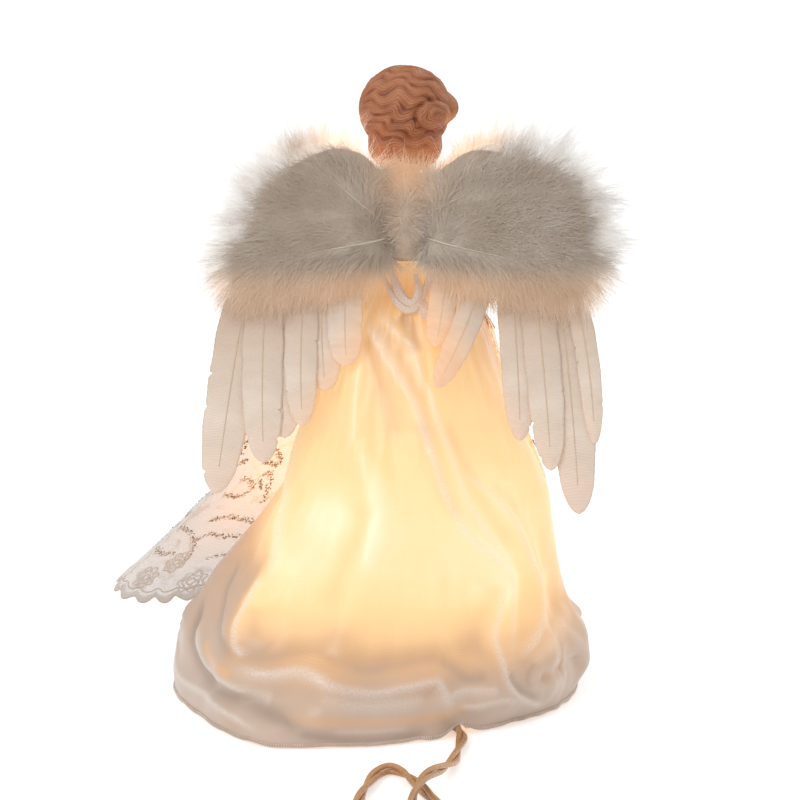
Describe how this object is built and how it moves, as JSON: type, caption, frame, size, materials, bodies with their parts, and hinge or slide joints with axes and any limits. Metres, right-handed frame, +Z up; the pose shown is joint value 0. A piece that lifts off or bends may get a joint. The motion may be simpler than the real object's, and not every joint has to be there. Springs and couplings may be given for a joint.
{
  "type": "lighted angel tree topper",
  "caption": "Angel tree topper: satin gown over a hollow cone, feather wings, lace overskirt, moulded hair, push-in lamps inside the gown and a plug lead.",
  "frame": {"origin": "on the cone's axis in the plane of its foot, where the tip of the tree goes in", "axes": "+Z up along the cone, the angel faces -Y, its left is +X"},
  "size_m": [0.212, 0.3276, 0.254],
  "materials": {
    "cone_plastic": "translucent white",
    "porcelain": "matt bisque, painted",
    "hair": "moulded auburn waves",
    "satin": "cream satin",
    "lace": "sheer lace with gold scrolls",
    "wing_card": "plain card",
    "marabou": "fluffy marabou down",
    "goose_feather": "soft goose feather",
    "wire": "ivory insulation",
    "socket_plastic": "moulded white",
    "bulb_glass": "clear lit glass",
    "plug_plastic": "moulded ivory",
    "blade_brass": "plain brass",
    "fuse_glass": "clear with metal caps"
  },
  "bodies": {
    "base": {"support_cone": "cone_plastic", "torso": "cone_plastic", "gown_skirt": "satin", "gown_bodice": "satin", "lace_overskirt": "lace", "head": "porcelain", "hair": "hair", "wing_spine": "wing_card", "harness": "wire", "lead_cord": "wire", "lead_coil": "wire", "plug_body": "plug_plastic", "plug_blade_1": "blade_brass", "plug_blade_2": "blade_brass", "fuse": "fuse_glass"},
    "wing_left": {"wing_card_left": "wing_card", "marabou_back_left": "marabou", "marabou_front_left": "marabou", "feather_left_1": "goose_feather", "feather_left_2": "goose_feather", "feather_left_3": "goose_feather", "feather_left_4": "goose_feather", "feather_left_5": "goose_feather", "feather_left_6": "goose_feather"},
    "wing_right": {"wing_card_right": "wing_card", "marabou_back_right": "marabou", "marabou_front_right": "marabou", "feather_right_1": "goose_feather", "feather_right_2": "goose_feather", "feather_right_3": "goose_feather", "feather_right_4": "goose_feather", "feather_right_5": "goose_feather", "feather_right_6": "goose_feather"},
    "arm_left": {"sleeve_left": "satin", "hand_left": "porcelain"},
    "arm_right": {"sleeve_right": "satin", "hand_right": "porcelain"},
    "lamp_1": {"lamp_socket_1": "socket_plastic", "lamp_bulb_1": "bulb_glass"},
    "lamp_2": {"lamp_socket_2": "socket_plastic", "lamp_bulb_2": "bulb_glass"},
    "lamp_3": {"lamp_socket_3": "socket_plastic", "lamp_bulb_3": "bulb_glass"},
    "lamp_4": {"lamp_socket_4": "socket_plastic", "lamp_bulb_4": "bulb_glass"},
    "lamp_5": {"lamp_socket_5": "socket_plastic", "lamp_bulb_5": "bulb_glass"},
    "lamp_6": {"lamp_socket_6": "socket_plastic", "lamp_bulb_6": "bulb_glass"},
    "lamp_7": {"lamp_socket_7": "socket_plastic", "lamp_bulb_7": "bulb_glass"},
    "lamp_8": {"lamp_socket_8": "socket_plastic", "lamp_bulb_8": "bulb_glass"},
    "lamp_9": {"lamp_socket_9": "socket_plastic", "lamp_bulb_9": "bulb_glass"},
    "lamp_10": {"lamp_socket_10": "socket_plastic", "lamp_bulb_10": "bulb_glass"},
    "fuse_door": {"fuse_door": "plug_plastic"}
  },
  "joints": [
    {"name": "wing_left_fold", "type": "hinge", "parent": "base", "child": "wing_left", "pos_m": [0.0053, 0.025, 0.1925], "axis": [0, 0, 1], "range_deg": [-6, 30]},
    {"name": "wing_right_fold", "type": "hinge", "parent": "base", "child": "wing_right", "pos_m": [-0.0053, 0.025, 0.1925], "axis": [0, 0, -1], "range_deg": [-6, 30]},
    {"name": "arm_left_raise", "type": "hinge", "parent": "base", "child": "arm_left", "pos_m": [0.0242, 0, 0.199], "axis": [-1, 0, 0], "range_deg": [-10, 25]},
    {"name": "arm_right_raise", "type": "hinge", "parent": "base", "child": "arm_right", "pos_m": [-0.0242, 0, 0.199], "axis": [-1, 0, 0], "range_deg": [-10, 25]},
    {"name": "lamp_1_pull", "type": "slide", "parent": "base", "child": "lamp_1", "axis": [0.5565, -0.7947, -0.2425], "range_m": [0, 0.0125]},
    {"name": "lamp_2_pull", "type": "slide", "parent": "base", "child": "lamp_2", "axis": [0.7947, 0.5565, -0.2425], "range_m": [0, 0.0125]},
    {"name": "lamp_3_pull", "type": "slide", "parent": "base", "child": "lamp_3", "axis": [-0.5565, 0.7947, -0.2425], "range_m": [0, 0.0125]},
    {"name": "lamp_4_pull", "type": "slide", "parent": "base", "child": "lamp_4", "axis": [-0.7947, -0.5565, -0.2425], "range_m": [0, 0.0125]},
    {"name": "lamp_5_pull", "type": "slide", "parent": "base", "child": "lamp_5", "axis": [0.9678, -0.0677, -0.2425], "range_m": [0, 0.0125]},
    {"name": "lamp_6_pull", "type": "slide", "parent": "base", "child": "lamp_6", "axis": [-0.4253, 0.872, -0.2425], "range_m": [0, 0.0125]},
    {"name": "lamp_7_pull", "type": "slide", "parent": "base", "child": "lamp_7", "axis": [-0.5425, -0.8043, -0.2425], "range_m": [0, 0.0125]},
    {"name": "lamp_8_pull", "type": "slide", "parent": "base", "child": "lamp_8", "axis": [0.9688, -0.0508, -0.2425], "range_m": [0, 0.0125]},
    {"name": "lamp_9_pull", "type": "slide", "parent": "base", "child": "lamp_9", "axis": [-0.4404, 0.8644, -0.2425], "range_m": [0, 0.0125]},
    {"name": "lamp_10_pull", "type": "slide", "parent": "base", "child": "lamp_10", "axis": [-0.5284, -0.8136, -0.2425], "range_m": [0, 0.0125]},
    {"name": "fuse_door_slide", "type": "slide", "parent": "base", "child": "fuse_door", "axis": [-1, 0, 0], "range_m": [0, 0.012]}
  ]
}
